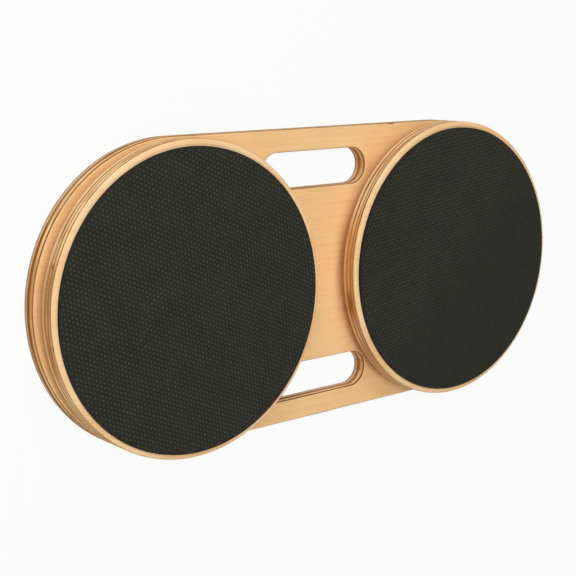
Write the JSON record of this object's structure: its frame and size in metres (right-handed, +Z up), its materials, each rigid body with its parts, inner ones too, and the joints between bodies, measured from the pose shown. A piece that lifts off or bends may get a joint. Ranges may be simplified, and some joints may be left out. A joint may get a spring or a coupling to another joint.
{
  "type": "twisting disc board",
  "caption": "Plywood floor board with round ends and hand slots that carries freely spinning plywood discs, each with a dotted rubber foot pad, on ball rings.",
  "frame": {"origin": "on the floor, under the middle of the board", "axes": "+X along the board's length from the left disc to the right disc, +Y across it towards the back hand slot, +Z up through the discs"},
  "size_m": [0.691, 0.32, 0.0549],
  "materials": {
    "birch_plywood": "clear satin lacquer over light birch plywood, with its plies showing at the edges",
    "pad_rubber": "matt charcoal rubber with fine raised dots",
    "sheet_rubber": "matt pale grey anti-slip rubber sheet",
    "race_aluminium": "turned, satin",
    "plated_steel": "bright zinc plated screws and polished balls",
    "cage_nylon": "natural nylon"
  },
  "bodies": {
    "board": {"base_board": "birch_plywood", "floor_grip_sheet": "sheet_rubber", "left_fixed_race": "race_aluminium", "left_race_screw_1": "plated_steel", "left_race_screw_2": "plated_steel", "left_race_screw_3": "plated_steel", "left_race_screw_4": "plated_steel", "right_fixed_race": "race_aluminium", "right_race_screw_1": "plated_steel", "right_race_screw_2": "plated_steel", "right_race_screw_3": "plated_steel", "right_race_screw_4": "plated_steel"},
    "left_turntable": {"left_disc": "birch_plywood", "left_pad": "pad_rubber", "left_turning_race": "race_aluminium", "left_disc_screw_1": "plated_steel", "left_disc_screw_2": "plated_steel", "left_disc_screw_3": "plated_steel", "left_disc_screw_4": "plated_steel"},
    "left_ball_set": {"left_ball_cage": "cage_nylon", "left_ball_01": "plated_steel", "left_ball_02": "plated_steel", "left_ball_03": "plated_steel", "left_ball_04": "plated_steel", "left_ball_05": "plated_steel", "left_ball_06": "plated_steel", "left_ball_07": "plated_steel", "left_ball_08": "plated_steel", "left_ball_09": "plated_steel", "left_ball_10": "plated_steel", "left_ball_11": "plated_steel", "left_ball_12": "plated_steel"},
    "right_turntable": {"right_disc": "birch_plywood", "right_pad": "pad_rubber", "right_turning_race": "race_aluminium", "right_disc_screw_1": "plated_steel", "right_disc_screw_2": "plated_steel", "right_disc_screw_3": "plated_steel", "right_disc_screw_4": "plated_steel"},
    "right_ball_set": {"right_ball_cage": "cage_nylon", "right_ball_01": "plated_steel", "right_ball_02": "plated_steel", "right_ball_03": "plated_steel", "right_ball_04": "plated_steel", "right_ball_05": "plated_steel", "right_ball_06": "plated_steel", "right_ball_07": "plated_steel", "right_ball_08": "plated_steel", "right_ball_09": "plated_steel", "right_ball_10": "plated_steel", "right_ball_11": "plated_steel", "right_ball_12": "plated_steel"}
  },
  "joints": [
    {"name": "left_disc_spin", "type": "hinge", "parent": "board", "child": "left_turntable", "pos_m": [-0.1855, 0, 0.03377], "axis": [0, 0, 1], "continuous": true},
    {"name": "left_ball_set_spin", "type": "hinge", "parent": "board", "child": "left_ball_set", "pos_m": [-0.1855, 0, 0.02564], "axis": [0, 0, 1], "continuous": true},
    {"name": "right_disc_spin", "type": "hinge", "parent": "board", "child": "right_turntable", "pos_m": [0.1855, 0, 0.03377], "axis": [0, 0, 1], "continuous": true},
    {"name": "right_ball_set_spin", "type": "hinge", "parent": "board", "child": "right_ball_set", "pos_m": [0.1855, 0, 0.02564], "axis": [0, 0, 1], "continuous": true}
  ],
  "couplings": [
    {"joint": "left_ball_set_spin", "follows": "left_disc_spin", "ratio": 0.4871},
    {"joint": "right_ball_set_spin", "follows": "right_disc_spin", "ratio": 0.4871}
  ]
}
